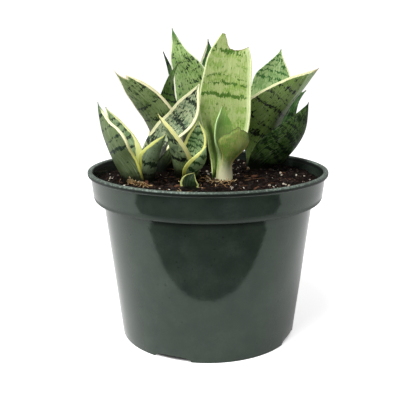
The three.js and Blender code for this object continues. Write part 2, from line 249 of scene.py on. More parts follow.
def new_finish(name, **sockets):
    """A material with its shader's own sockets set: the shader is what the rest is fed to."""
    finish = bpy.data.materials.new(name)
    finish.use_nodes = True
    shader = finish.node_tree.nodes["Principled BSDF"]
    for key, value in sockets.items():
        feed(shader.inputs[key.replace("_", " ")], value)
    return finish, finish.node_tree, shader


def dress(shader, colour, roughness, height, depth, strength=1):
    """Feeds a shader its colour, roughness, and relief as deep as stated in millimetres."""
    feed(shader.inputs["Base Color"], colour)
    feed(shader.inputs["Roughness"], roughness)
    feed(shader.inputs["Normal"], shade(height.id_data, "Bump", {
        "Height": height, "Distance": depth * MM, "Strength": strength}))


# Dust and fine scuffs settle on the pot, and the same film greys the litter on the soil.
film, film_in, film_out = new_group(
    "dust_film", {"Colour": "#222a25", "Dust": "#8f9a90", "Amount": 0.3, "Patch Size": 20},
    ["Colour", "Roughness"])
film_place = shade(film, "TexCoord", out="Object")
film_scale = calc("DIVIDE", 1 / MM, film_in["Patch Size"])
film_cloud = grain(film_place, film_scale, 5, 0.6)
film_specks = grain(film_place, times(film_scale, 14), 2, 0.5)
film_mask = times(ramp(film_cloud, 0.35, 0.75), film_in["Amount"])
film_mask = calc("MULTIPLY", film_mask, ramp(film_specks, 0.3, 0.7, 0.6, 1.1), clamp=True)
feed(film_out["Colour"], cover(film_mask, film_in["Colour"], film_in["Dust"]))
feed(film_out["Roughness"], film_mask)


def line_round(height, starts, full, fades, ends, amount):
    """A soft line round the pot between heights in millimetres."""
    return times(ramp(height, starts * MM, full * MM, 0, amount),
                 ramp(height, fades * MM, ends * MM, 1, 0))


# Painted shade lies under the lip and under the band, both edges are rougher than the wall, and the
# lip top is paler in small nicks, partly wear and partly a painted highlight.
pot_finish, pot_tree, pot_shader = new_finish(
    "pot_plastic", IOR=1.5, Specular_IOR_Level=0.47, Specular_Tint="#dcf0e2")
pot_place = shade(pot_tree, "TexCoord", out="Object")
pot_height = shade(pot_tree, "SeparateXYZ", {"Vector": pot_place}, out="Z")
mottle = grain(pot_place, 90, 4, 0.6)
plastic = cover(ramp(mottle, 0.3, 0.75), "#222a25", "#283129")
dusty = use_group(pot_tree, film, {"Colour": plastic, "Dust": "#7c8a80", "Amount": 0.05, "Patch Size": 16})
# Painted shade: dark lines under the lip and under the band, where their overhang shades the wall.
painted_shade = larger(line_round(pot_height, *LIP_PAINTED_SHADE), line_round(pot_height, *LEDGE_PAINTED_SHADE))
stained_and_shaded = cover(painted_shade, dusty["Colour"], "#0a0e0b")
specks = ramp(grain(pot_place, 430, 1, 0.4), 0.72, 0.78, 0, 0.45)
stained_and_shaded = cover(specks, stained_and_shaded, "#12100b")
# The lip top is paler: nicks of wear, with a painted highlight laid all round.
nicks = ramp(plus(grain(pot_place, 900, 3, 0.6), times(mottle, 0.4)), 0.66, 0.86, 0.12, 0.8)
wear_and_highlight = times(ramp(pot_height, LIP_WEAR_AND_HIGHLIGHT[0] * MM, LIP_WEAR_AND_HIGHLIGHT[1] * MM), nicks)
edges = larger(ramp(pot_height, ROUGH_LIP[0] * MM, ROUGH_LIP[1] * MM, 0, 0.4),
               line_round(pot_height, *ROUGH_LEDGE))
peel = plus(grain(pot_place, 420, 2, 0.5), times(mottle, 1.5))
dress(pot_shader, cover(wear_and_highlight, stained_and_shaded, "#7b877f"), plus(times(dusty["Roughness"], 0.6), edges, 0.1), peel,
      depth=0.05, strength=0.35)
pot.data.materials.clear()
pot.data.materials.append(pot_finish)


# ---- Potting mix ----
# The pot is filled with a dark mix of peat, bark and coir. It is one block with a crumbly top that
# closes round the leaves, and loose crumbs, bark chips, white perlite and coir fibres lie in it.
SOIL_TOP, SOIL_RADIUS = 101.5, 71.9
SOIL_SIDE = [(0, 4.7), (55.1, 4.7), (65.1, 91.1), (69, 91.1), (71, 93.1)]
SOIL_RINGS, SOIL_SECTORS = 120, 336
SWELLS, LUMPS, PITS = (26, 1.3), (6.5, 0.8), (2.6, 1.1)  # how far apart and how high
SUNK = 0.7
CROWNS = {"left": (-41.5, -14, 12), "middle": (-14.5, -5, 9.6), "pale": (9.5, -8, 8.2), "right": (35, 33, 12),
          "back_left": (-27, 21, 9.6), "back": (-8, 41, 9.6), "pup": (-10.5, -43.5, 6.4)}
MOUND = {"height": 1.7, "reach": 5.5}
GRAINS = [  # name, seed, count, smallest, largest, skew, flatness, roughness, level, and the finish
    ("soil_crumbs", 11, 2100, 0.45, 1.5, 2.4, 0.75, 0.28, 0.15, "peat_crumbs",
     [(0, "#060403"), (0.55, "#140d09"), (0.85, "#291a13"), (1, "#5d4032")], 0.4, 1500),
    ("perlite_grains", 23, 240, 0.26, 1, 1.6, 0.8, 0.2, 0.3, "expanded_perlite",
     [(0, "#6e6254"), (0.5, "#b3a898"), (1, "#e6dfd2")], 0.3, 1800),
    ("bark_chips", 37, 46, 1, 2.6, 1.5, 0.3, 0.25, 0.2, "bark",
     [(0, "#100906"), (0.5, "#24150e"), (0.85, "#45291a"), (1, "#6b4730")], 0.5, 900)]
COIR = {"count": 110, "shortest": 4, "longest": 15, "skew": 2, "above": 0.25, "lift": 0.12, "curl": 0.5,
        "radius": 0.15}
WALL_MARGIN, COIR_MARGIN = 1.5, 14


def wave(x, y, z):
    return noise.noise(Vector((x, y, z)))


def soil_height(x, y):
    """The level of the mix: broad swells, lumps, small pits, and a low mound round each crown."""
    clear = min(hypot(x - crown_x, y - crown_y) - radius for crown_x, crown_y, radius in CROWNS.values())
    mound = MOUND["height"] * min(1, max(0, 1 - clear / MOUND["reach"])) ** 2
    swells = wave(x / SWELLS[0], y / SWELLS[0], 3.1) * SWELLS[1]
    lumps = wave(x / LUMPS[0], y / LUMPS[0], 8.4) * LUMPS[1]
    pits = noise.turbulence(Vector((x / PITS[0], y / PITS[0], 1.7)), 3, False) * PITS[1]
    return SOIL_TOP + swells + lumps + pits + mound - SUNK


soil_rows = [(radius, height, 0) for radius, height in SOIL_SIDE]
for k in range(SOIL_RINGS, 0, -1):
    radius = SOIL_RADIUS * k / SOIL_RINGS
    soil_rows.append((radius, None, 0.5 * (round(radius * 10) % 2)))  # some rings turned, so no spokes show
soil_rows.append((0, None, 0))
soil = add_piece("potting_mix", sharp=80, mesh=turned_mesh(
    "potting_mix", soil_rows, SOIL_SECTORS, lambda x, y, z: (x, y, soil_height(x, y) if z is None else z)))
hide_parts("soil")

soil_finish, soil_tree, soil_shader = new_finish("peat_and_bark", Specular_IOR_Level=0.06)
soil_place = shade(soil_tree, "TexCoord", out="Object")
soil_cloud, soil_fine = grain(soil_place, 260, 5, 0.7), grain(soil_place, 1300, 4, 0.7)
earth = cover(ramp(soil_cloud, 0.4, 0.62), "#040302", "#150d09")
dress(soil_shader, cover(ramp(soil_fine, 0.5, 0.72), earth, "#281a14"), ramp(soil_fine, 0.3, 0.7, 0.95, 0.75),
      plus(soil_cloud, times(soil_fine, 0.5)), depth=1.2)
soil.data.materials.append(soil_finish)


def keep(mesh, label, values):
    """Keeps a number, or three, at each point of a mesh for its material to read."""
    values = np.array(values, np.float32)
    kind, field = ("FLOAT", "value") if values.ndim == 1 else ("FLOAT_VECTOR", "vector")
    mesh.attributes.new(label, kind, "POINT").data.foreach_set(field, values.ravel())


def colour_steps(value, stops, interpolation="LINEAR"):
    """Colours that change with a value, each stop a place from 0 to 1 and a colour."""
    colours = shade(value.id_data, "ValToRGB", {"Fac": value}, out="Color")
    steps = colours.node.color_ramp
    steps.interpolation = interpolation
    while len(steps.elements) < len(stops):
        steps.elements.new(0.5)
    for element, (at, colour) in zip(steps.elements, stops):
        element.position = at
        element.color = colour
    return colours


def loose_piece(name, points, faces, tones, sharp, material, codes, depth, scale):
    """Adds small loose parts as one piece with a rough finish, coloured by each part's own tone."""
    mesh = mesh_in_mm(name, points, faces)
    keep(mesh, "tone", tones)
    piece = add_piece(name, mesh, sharp)
    finish, tree, shader = new_finish(material, Specular_IOR_Level=0.15)
    fine = grain(shade(tree, "TexCoord", out="Object"), scale, 4, 0.65)
    tone = shade(tree, "Attribute", attribute_name="tone", out="Fac")
    stops = [(at, paint(code)) for at, code in codes]
    colour = colour_steps(plus(times(tone, 0.75), times(fine, 0.3)), stops)
    dusty = use_group(tree, film, {"Colour": colour, "Dust": "#5f564b", "Amount": 0.1, "Patch Size": 6})
    dress(shader, dusty["Colour"], ramp(fine, 0.2, 0.8, 0.95, 0.7), fine, depth)
    piece.data.materials.append(finish)


def on_soil(draw, margin):
    """A random place on the mix, clear of the pot's wall."""
    away = (SOIL_RADIUS - margin) * sqrt(draw.random())
    angle = 2 * pi * draw.random()
    return away * cos(angle), away * sin(angle)


def scatter(name, seed, count, smallest, largest, skew, flatness, roughness, level, *finish):
    """Many small irregular lumps on the mix in one piece."""
    draw = random.Random(seed)
    form = bmesh.new()
    bmesh.ops.create_icosphere(form, subdivisions=2, radius=1)
    ball = np.array([v.co for v in form.verts])
    ball_faces = np.array([[v.index for v in face.verts] for face in form.faces])
    form.free()
    points, faces, tones = [], [], []
    for k in range(count):
        size = smallest + (largest - smallest) * draw.random() ** skew
        x, y = on_soil(draw, WALL_MARGIN + size)
        bumps = np.array([1 + roughness * (2 * draw.random() - 1) for _ in ball])
        girth = np.array([1, 0.65 + 0.35 * draw.random(), flatness * (0.7 + 0.6 * draw.random())])
        turn = Matrix.Rotation(2 * pi * draw.random(), 3, "Z")
        turn = turn @ Matrix.Rotation(draw.random() - 0.5, 3, "X")
        turn = np.array(turn @ Matrix.Rotation(0.9 * (draw.random() - 0.5), 3, "Y"))
        place = np.array([x, y, soil_height(x, y) + level * size])
        points.append((ball * bumps[:, None] * girth * size) @ turn.T + place)
        faces.append(ball_faces + len(ball) * k)
        tones.append(np.full(len(ball), draw.random()))
    points, faces, tones = (np.concatenate(part) for part in (points, faces, tones))
    loose_piece(name, points, faces.tolist(), tones, 30, *finish)


def lay_strand(draw, x, y, sort, steps=9):
    """A tone, and a limp strand that wanders over the mix from its start."""
    length = sort["shortest"] + (sort["longest"] - sort["shortest"]) * draw.random() ** sort["skew"]
    heading = 2 * pi * draw.random()
    line = [np.array([x, y, soil_height(x, y) + sort["above"]])]
    for k in range(steps):
        heading += sort["curl"] * (2 * draw.random() - 1)
        rise = sort["lift"] * cos(pi * (k + 0.5) / steps)
        line.append(line[-1] + np.array([cos(heading), sin(heading), rise]) * length / steps)
    line = [(px, py, max(pz, soil_height(px, py) + 0.1)) for px, py, pz in line]
    return draw.random(), line


def strands(name, finish, lines, radius, sides=6, taper=0.45):
    """Thin round strands in one piece, tapered to their ends."""
    points, faces, tones = [], [], []
    for tone, line in lines:
        line = np.array(line)
        first = len(points)
        for k, (place, way) in enumerate(zip(line, np.gradient(line, axis=0))):
            way = Vector(way).normalized()
            across = way.orthogonal().normalized()
            up = way.cross(across)
            girth = radius * (1 - (1 - taper) * abs(2 * k / (len(line) - 1) - 1) ** 2)
            for j in range(sides):
                turn = 2 * pi * j / sides
                points.append(Vector(place) + (across * cos(turn) + up * sin(turn)) * girth)
                tones.append(tone)
        for k in range(len(line) - 1):
            for j in range(sides):
                a, b = first + k * sides + j, first + k * sides + (j + 1) % sides
                faces.append((a, b, b + sides, a + sides))
        faces.append(tuple(first + j for j in reversed(range(sides))))
        faces.append(tuple(first + (len(line) - 1) * sides + j for j in range(sides)))
    loose_piece(name, points, faces, tones, 60, *finish)


for sort in GRAINS:
    scatter(*sort)
draw = random.Random(51)
strands("coir_fibres", ("coir", [(0, "#3a2418"), (0.5, "#6d4a31"), (1, "#a9825a")], 0.1, 2500),
        [lay_strand(draw, *on_soil(draw, COIR_MARGIN), COIR) for k in range(COIR["count"])], COIR["radius"])


# ---- Litter ----
# Old sheaths dry out at the foot of the leaves and stay there as torn, papery scraps, and a mat of
# dry rootlets has come up round the pale plant. Both are thin and brittle, and stand on the mix.
SCRAPS = [  # crown, distance from its axis, from and to angle, tallest, lean, seed
    ("left", 12.4, 236, 262, 7, 0.35, 1), ("left", 13.2, 258, 286, 4.2, 0.6, 2),
    ("left", 12.9, 268, 296, 2.6, 0.9, 3), ("pale", 8.8, 178, 214, 4.6, 0.5, 4),
    ("pale", 9.4, 236, 262, 2.4, 0.8, 5), ("pale", 9.2, 300, 330, 3, 0.6, 6),
    ("pup", 7.2, 196, 238, 2.6, 0.5, 7), ("middle", 10.6, 250, 272, 2.8, 0.7, 8),
    ("right", 13, 228, 246, 3, 0.5, 9)]
SCRAP_COLUMNS, SCRAP_ROWS = 26, 7
SCRAP_THICKNESS, SCRAP_BURIED = 0.22, 0.6
ROOTLETS = {"count": 46, "shortest": 4, "longest": 11, "skew": 1.6, "above": 0, "lift": 0.55, "curl": 0.7,
            "radius": 0.22}
ROOTLET_RINGS = {"pale": (5.5, 150, 150), "left": (3, 236, 60)}  # how broad, from where, how far round


def scrap_points(crown, away, first, last, tallest, lean, seed):
    """A thin upright strip of dry sheath round a crown, torn to points along its top, with tones."""
    for face in (0, 1):
        for up in np.arange(SCRAP_ROWS) / (SCRAP_ROWS - 1):
            for share in np.arange(SCRAP_COLUMNS) / (SCRAP_COLUMNS - 1):
                angle = radians(first + (last - first) * share)
                peak = 0.5 + 0.5 * wave(share * 4.5, seed * 5.1, 0.2)
                teeth = 0.5 + 0.5 * wave(share * 17, seed * 5.1, 4.2)
                rounded = sin(pi * (0.08 + 0.84 * share)) ** 0.7
                height = tallest * (0.12 + 0.992 * peak ** 1.6 + 0.3 * teeth) * rounded
                crinkle = 0.5 * wave(share * 7, up * 2.2, seed * 2.3)
                out = away + lean * height * up ** 1.5 + crinkle * up + face * SCRAP_THICKNESS
                x, y = CROWNS[crown][0] + out * cos(angle), CROWNS[crown][1] + out * sin(angle)
                foot = soil_height(x, y) - SCRAP_BURIED
                yield (x, y, foot + (height + SCRAP_BURIED) * up), 0.25 + 0.65 * up + 0.1 * teeth


def scrap_faces():
    """The two faces of a strip, and the rim that closes it all round."""
    grid = np.arange(SCRAP_ROWS * SCRAP_COLUMNS).reshape(SCRAP_ROWS, SCRAP_COLUMNS)
    size, row = grid.size, SCRAP_COLUMNS
    faces = []
    for a in grid[:-1, :-1].ravel().tolist():
        faces.append((a, a + row, a + row + 1, a + 1))
        faces.append((size + a, size + a + 1, size + a + row + 1, size + a + row))
    rim = np.concatenate([grid[:, 0], grid[-1, 1:], grid[-2::-1, -1], grid[0, -2:0:-1]]).tolist()
    return faces + [(a, size + a, size + b, b) for a, b in zip(rim, rim[1:] + rim[:1])]


points, tones = zip(*[point for scrap in SCRAPS for point in scrap_points(*scrap)])
faces = [tuple(k * 2 * SCRAP_ROWS * SCRAP_COLUMNS + corner for corner in face)
         for k in range(len(SCRAPS)) for face in scrap_faces()]
loose_piece("sheath_scraps", points, faces, tones, 60, "dry_sheath",
            [(0, "#3c2818"), (0.45, "#8a6a42"), (0.75, "#bfa273"), (1, "#e6d6ac")], 0.25, 700)

draw = random.Random(77)
rootlets = []
for k in range(ROOTLETS["count"]):
    crown = "pale" if k % 3 else "left"
    spread, first, sweep = ROOTLET_RINGS[crown]
    turn = radians(first + sweep * draw.random())
    away = CROWNS[crown][2] + 0.6 + spread * draw.random()
    x, y = CROWNS[crown][0] + away * cos(turn), CROWNS[crown][1] + away * sin(turn)
    rootlets.append(lay_strand(draw, x, y, ROOTLETS))
strands("dry_rootlets", ("dry_root", [(0, "#5a4028"), (0.5, "#94734a"), (1, "#d0b686")], 0.1, 2200),
        rootlets, ROOTLETS["radius"])


# ---- Crowns ----
# Each rosette grows from a short fleshy stem that the mix covers. It is pale, ringed by the scars
# of old leaves, and its shape is right as it comes.
crown_finish, crown_tree, crown_shader = new_finish("crown_flesh")
crown_place = shade(crown_tree, "TexCoord", out="Object")
scars = shade(crown_tree, "TexWave", out="Fac", bands_direction="Z", inputs={
    "Vector": crown_place, "Scale": 260, "Distortion": 4, "Detail": 2})
dress(crown_shader, cover(ramp(scars, 0.1, 0.6), "#8b7350", "#c9b98d"), 0.6, scars, depth=0.3)
for crown_name in CROWNS:
    crown_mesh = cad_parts[crown_name + "_crown"].data
    crown_mesh.materials.clear()
    crown_mesh.materials.append(crown_finish)


# ---- Left rosette ----
# Each leaf is one thick folded blade. Its foot clasps the crown, its midrib is the spine that the
# blade is bent along, and its waxy skin carries dark cross bands and a cream margin.
FOOT_DEPTH, EMERGES = 10, 2
SPINE, MARGIN_THICKNESS, FOLD_KEEL, NARROWEST = [2.2, 1.7, 0.8], 0.8, 0.85, 0.3
STATIONS, COLUMNS, EDGE_STEPS, BEND_STEPS = 64, 28, 3, 24
THINS_TO_TIP, THINS_TO_TEAR = (5, 0.35), (2.5, 0.45)  # over how many millimetres, and to what share
SETTLES = {"upright": 5, "keel": 2, "lean": 3, "swell": 4}  # done by this part of the way up
SWELL = {"height": 0.35, "along": 0.11, "across": 0.12}


def along(values, s):
    """Values at even steps from foot to tip, read along the smooth curve through them."""
    values = np.array(values, float)
    last = len(values) - 1
    place = np.clip(s, 0, 1) * last
    i = np.minimum(place.astype(int), last - 1)
    t = place - i
    before, a, b, after = (values[np.clip(i + k, 0, last)] for k in (-1, 0, 1, 2))
    v0, v1 = (b - before) / 2, (after - a) / 2
    return (2 * a - 2 * b + v0 + v1) * t ** 3 + (-3 * a + 3 * b - 2 * v0 - v1) * t ** 2 + v0 * t + a


def midrib(crown, side, ring, through, samples=60):
    """Close points on the midrib from the crown to the tip, and the length up to each."""
    x = CROWNS[crown][0] + ring * cos(radians(side))
    y = CROWNS[crown][1] + ring * sin(radians(side))
    knots = np.array([(x, y, SOIL_TOP - FOOT_DEPTH), (x, y, SOIL_TOP + EMERGES), *through], float)
    knots = np.array([2 * knots[0] - knots[1], *knots, 2 * knots[-1] - knots[-2]])
    t = (np.arange(samples) / samples)[:, None]
    points = []
    for p0, p1, p2, p3 in zip(knots, knots[1:], knots[2:], knots[3:]):
        d0, d1, d2 = (sqrt(np.linalg.norm(b - a)) for a, b in ((p0, p1), (p1, p2), (p2, p3)))
        m1 = ((p1 - p0) / d0 - (p2 - p0) / (d0 + d1) + (p2 - p1) / d1) * d1
        m2 = ((p2 - p1) / d1 - (p3 - p1) / (d1 + d2) + (p3 - p2) / d2) * d1
        points += [*(p1 + m1 * t + (-3 * p1 + 3 * p2 - 2 * m1 - m2) * t ** 2
                     + (2 * p1 - 2 * p2 + m1 + m2) * t ** 3)]
    points = np.array([*points, knots[-2]])
    return points, np.concatenate([[0], np.cumsum(np.linalg.norm(np.diff(points, axis=0), axis=1))])


def unit(vectors):
    return vectors / np.linalg.norm(vectors, axis=-1, keepdims=True)


def read_at(at, lengths, vectors):
    """Vectors known at some lengths of the midrib, read at others."""
    return np.stack([np.interp(at, lengths, part) for part in vectors.T], -1)


def end_faces(row, size):
    """The faces that close a blade at one of its rows, with its two round edges."""
    last = 2 * COLUMNS + EDGE_STEPS + 1
    ends = [[k, k + 1, last - k - 1, last - k] for k in range(COLUMNS)]
    ends += [range(COLUMNS, COLUMNS + EDGE_STEPS + 2), [*range(last, size), 0]]
    return [tuple(row * size + k for k in end) for end in ends]


def blade(name, seed, crown, side, ring, through, widths, fold, twist, lift, keel, torn, ragged):
    """The mesh of a leaf, with where each point lies on it kept for its markings."""
    points, lengths = midrib(crown, side, ring, through)
    buried = FOOT_DEPTH + EMERGES
    shown = lengths[-1] - buried

    # Each row goes up by the same share of its column, and a torn leaf's columns end early.
    v = np.linspace(-1, 1, COLUMNS + 1)
    reach = np.ones_like(v)
    if torn:
        frays = [0.6 * wave(place * 5, seed * 3.7, 0.5)
                 + 0.8 * wave(place * 14, seed * 3.7, 9.5) for place in v]
        reach = np.interp(v, *zip(*torn)) + ragged * np.array(frays) / shown
    rows = np.linspace(0, 1, STATIONS)[:, None] ** 0.9 * reach[None, :]
    crown_row = np.zeros((1, len(v)))
    s = np.concatenate([crown_row, rows])
    at = np.concatenate([crown_row, buried + rows * shown])
    v = np.broadcast_to(v, s.shape)

    # The midrib stands upright at the crown, and the inner face turns along it.
    centre = read_at(at, lengths, points)
    forward = read_at(np.maximum(at, buried), lengths, unit(np.gradient(points, lengths, axis=0)))
    upright = np.clip(1 - SETTLES["upright"] * s, 0, 1)[..., None]
    forward = unit(unit(forward) * (1 - upright) + np.array([0, 0, 1]) * upright)
    facing = np.radians(side + 180 + along([0, *twist], s))
    inward = np.stack([np.cos(facing), np.sin(facing), lift * np.clip(SETTLES["lean"] * s, 0, 1)], -1)
    inward = unit(inward - forward * (inward * forward).sum(-1, keepdims=True))
    sideways = np.cross(forward, inward)

    # Both halves are bent up from the midrib, more and more towards the margin, and swell a little.
    angle = np.radians(along(fold, s))
    sharpness = 1 + (keel - 1) * np.minimum(1, SETTLES["keel"] * s)
    half = np.maximum(along([2 * ring * radians(fold[0]), *widths, 0], s) / 2, NARROWEST)
    across, rise = np.zeros_like(s), np.zeros_like(s)
    for k in range(BEND_STEPS):
        bent = angle * (((k + 0.5) / BEND_STEPS) * np.abs(v)) ** sharpness
        across += half * v * np.cos(bent) / BEND_STEPS
        rise += half * np.abs(v) * np.sin(bent) / BEND_STEPS
    bent = angle * np.abs(v) ** sharpness
    swell = np.array([[wave(a * SWELL["along"], b * half_row * SWELL["across"], seed)
                       for b, half_row in zip(row, halves)] for a, row, halves in zip(at[:, 0], v, half)])
    rise = rise + SWELL["height"] * swell * np.clip(SETTLES["swell"] * s, 0, 1) * (0.4 + 0.6 * np.abs(v))
    middle = centre + sideways * across[..., None] + inward * rise[..., None]
    turned = np.sign(v) * bent
    normal = -np.sin(turned)[..., None] * sideways + np.cos(turned)[..., None] * inward
    spread = np.sign(v)[..., None] * np.cos(bent)[..., None] * sideways + np.sin(bent)[..., None] * inward

    # It is thickest at the midrib and thins to its margins, its tip and its torn end.
    spine = along(SPINE, s)
    thickness = spine + (MARGIN_THICKNESS - spine) * v ** 2
    thickness = thickness * np.clip((1 - s) * shown / THINS_TO_TIP[0], THINS_TO_TIP[1], 1)
    to_end = (reach[None, :] - s) * shown
    if torn:
        thickness = thickness * np.clip(to_end / THINS_TO_TEAR[0], THINS_TO_TEAR[1], 1)
    offset = normal * thickness[..., None] / 2
    caps = []
    for j in (COLUMNS, 0):
        radius = thickness[:, j, None] / 2
        turns = [pi * step / (EDGE_STEPS + 1) for step in range(1, EDGE_STEPS + 1)]
        cap = [middle[:, j] + normal[:, j] * radius * cos(turn) + spread[:, j] * radius * sin(turn)
               for turn in turns]
        caps.append(np.stack(cap if j else cap[::-1], 1))

    # A ring of points goes round each row: inner face, edge, outer face, edge.
    form = np.concatenate([middle + offset, caps[0], (middle - offset)[:, ::-1], caps[1]], 1)
    count, size = form.shape[:2]
    faces = [(low + k, low + (k + 1) % size, low + size + (k + 1) % size, low + size + k)
             for low in range(0, (count - 1) * size, size) for k in range(size)]
    faces += [end[::-1] for end in end_faces(0, size)] + end_faces(count - 1, size)
    mesh = mesh_in_mm(name, form.reshape(-1, 3), faces)
    where = np.stack([half * v, s * shown, 0 * s], -1)
    edges = np.stack([half * (1 + v), half * (1 - v), to_end], -1)
    for label, values in (("blade", where), ("edges", edges)):
        right, left = (np.repeat(values[:, [j]], EDGE_STEPS, 1) for j in (COLUMNS, 0))
        keep(mesh, label, np.concatenate([values, right, values[:, ::-1], left], 1).reshape(-1, 3))
    return mesh


# The markings of a leaf in two steps. The rows are the heights on the blade, in millimetres, with the
# zigzag of its cross bands, and the markings lay the bands, mottles, margins, foot and dry tip over
# the skin. Both start from the places that the mesh keeps.
SEED_STEP = 17.3
NO_MARGIN, NO_STRIP, NO_CHANNEL = -2, -4, -9


def spot(tree, attribute):
    """The three numbers that the mesh keeps under a name."""
    kept = shade(tree, "Attribute", attribute_name=attribute, out="Vector")
    return shade(tree, "SeparateXYZ", {"Vector": kept}).node.outputs


def place_on_blade(tree, seed):
    """Where a point lies across and along the blade, and noise with a scale of its own each way."""
    across_mm, along_mm, _ = spot(tree, "blade")
    depth_mm = times(seed, SEED_STEP)

    def cells(x_scale, y_scale, detail=2, roughness=0.55, layer=0):
        place = shade(tree, "CombineXYZ", {
            "X": times(across_mm, x_scale), "Y": times(along_mm, y_scale), "Z": plus(depth_mm, layer)})
        return grain(place, 1, detail, roughness)

    return across_mm, along_mm, cells


def centred(value, size):
    return times(minus(value, 0.5), size)


zigzag_rows, rows_in, rows_out = new_group("zigzag_rows", {"Seed": 0, "Zigzag": 1}, ["Row"])
across_mm, along_mm, cells = place_on_blade(zigzag_rows, rows_in["Seed"])
bow = centred(cells(0.07, 0.09), 7)
teeth = centred(cells(0.55, 0.2), 4)
fringe = centred(cells(1.7, 0.5), 2.2)
feed(rows_out["Row"], plus(along_mm, bow, times(plus(teeth, fringe), rows_in["Zigzag"])))

# Its own values are the plain leaf of the dark rosettes. A leaf states only where it differs.
markings, marks_in, marks_out = new_group("leaf_markings", {
    "Seed": 0, "Bands": 0, "Body": "#5d7456", "Pale": "#8ea184", "Band": "#1d3326", "Margin": "#eeebc0",
    "Low Margin": "#cfd062", "Foot": "#14170d", "Tip": "#6b6a3c", "Mottling": 1, "Paleness": 0.6,
    "Left Margin": 1.5, "Right Margin": 1.5, "Low Widening": 0, "Breaks": 0.6, "Fine Bands": 0.4,
    "Strip": "#93a67e", "Spine Strip": NO_STRIP, "Right Strip": NO_STRIP, "Strip From": 0,
    "Channel": NO_CHANNEL, "Channel Top": 0, "Foot Height": 8, "Tip Length": 0.8},
    ["Colour", "Roughness", "Height"])
across_mm, along_mm, cells = place_on_blade(markings, marks_in["Seed"])
left_mm, right_mm, end_mm = spot(markings, "edges")

# Dark bands with gaps, fine bands and mottles over a skin that is paler in clouds
blots = centred(cells(0.75, 0.6, 3, 0.6), 1.3)
dashes = centred(cells(1.5, 0.3, 2, 0.5), 1.3)
mottle = times(plus(blots, dashes), marks_in["Mottling"])
gaps = ramp(cells(0.17, 0.12, layer=40), 0.52, 0.38)
bands = times(marks_in["Bands"], minus(1.15, times(gaps, marks_in["Breaks"])))
threads = ramp(cells(0.16, 0.62, 3, 0.65, layer=80), 0.53, 0.68)
dark = ramp(plus(bands, mottle, times(threads, marks_in["Fine Bands"])), 0.38, 0.62)
light = times(ramp(plus(times(mottle, -0.35), cells(0.09, 0.16, 3)), 0.36, 0.62), marks_in["Paleness"])
skin = cover(dark, cover(light, marks_in["Body"], marks_in["Pale"]), marks_in["Band"])
streaks = cells(3.2, 0.11, 3, 0.6)
skin = cover(ramp(streaks, 0.3, 0.7, 0.2, 0), skin, (0, 0, 0, 1))
skin = cover(ramp(streaks, 0.5, 0.8, 0, 0.16), skin, (1, 1, 0.85, 1))

# A streaky pale strip along the spine, painted as the reflection of the table, a silvery strip along
# the right edge, and painted shadow down the channel at the foot
# Painted reflection: the spine strip is the white table seen in the half of the fold that faces down.
strip_reach = ramp(minus(along_mm, marks_in["Strip From"]), -10, 26)
strips = larger(*[
    ramp(minus(times(marks_in[width], strip_reach), distance), -0.6, 0.6)
    for distance, width in ((calc("ABSOLUTE", across_mm), "Spine Strip"), (right_mm, "Right Strip"))])
skin = cover(times(strips, ramp(streaks, 0.25, 0.6, 0.35, 0.9)), skin, marks_in["Strip"])
# Painted shadow in the fold of the channel, in the foot colour.
channel = ramp(calc("ABSOLUTE", minus(left_mm, marks_in["Channel"])), 0.6, 3.4, 0.92, 0)
channel = times(channel, ramp(minus(marks_in["Channel Top"], along_mm), -6, 10))
skin = cover(channel, skin, marks_in["Foot"])

# The margins waver, narrow to the tip, and are yellower low down
waver = centred(cells(0, 0.4, 3), 1.3)
widening = times(ramp(along_mm, 26, 10), marks_in["Low Widening"])
margins = []
for distance, width in ((left_mm, "Left Margin"), (right_mm, "Right Margin")):
    wide = times(plus(marks_in[width], widening), ramp(end_mm, 0.5, 9, 0.15, 1))
    margins.append(ramp(minus(plus(wide, waver), distance), -0.2, 0.2))
margin_tone = cover(ramp(along_mm, 6, 26), marks_in["Low Margin"], marks_in["Margin"])
margin_tone = cover(ramp(streaks, 0.3, 0.6, 0.35, 0), margin_tone, marks_in["Low Margin"])
rim_mm = calc("MINIMUM", left_mm, right_mm)
margin_tone = cover(ramp(rim_mm, 0.1, 0.3, 0.35, 0), margin_tone, marks_in["Body"])
skin = cover(larger(*margins), skin, margin_tone)

# The foot: painted shade up from the mix on most leaves, and the real pale stalk on two pale leaves;
# the dry tip; and the wax
foot_share = calc("DIVIDE", plus(along_mm, centred(cells(0.5, 0.5), 5)), marks_in["Foot Height"])
skin = cover(ramp(foot_share, 0.1, 1, 1, 0), skin, marks_in["Foot"])
tip_share = calc("DIVIDE", plus(end_mm, blots), marks_in["Tip Length"])
feed(marks_out["Colour"], cover(ramp(tip_share, 0.3, 1, 0.9, 0), skin, marks_in["Tip"]))
feed(marks_out["Roughness"], plus(times(streaks, 0.14), ramp(blots, -0.4, 0.4, 0.32, 0.42)))
feed(marks_out["Height"], plus(times(streaks, 0.7), times(blots, 0.3)))


def band_strength(row, bands, length):
    """How strong the dark bands are at a row, each band given by its place, half width and strength."""
    stops = sorted((at + width * side, strength * (side == 0))
                   for at, width, strength in bands for side in (-1, 0, 1))
    stops = [(0, 0), *[(min(max(at / length, 0.001), 0.999), strength) for at, strength in stops], (1, 0)]
    stops = [(at, (strength, strength, strength, 1)) for at, strength in stops]
    return colour_steps(calc("DIVIDE", row, length), stops, "EASE")


# What a leaf's look gives together, and the markings that it stands for
TOGETHER = {"skin": ("Body", "Pale", "Band"), "rim": ("Margin", "Low Margin"),
            "edged": ("Left Margin", "Right Margin")}


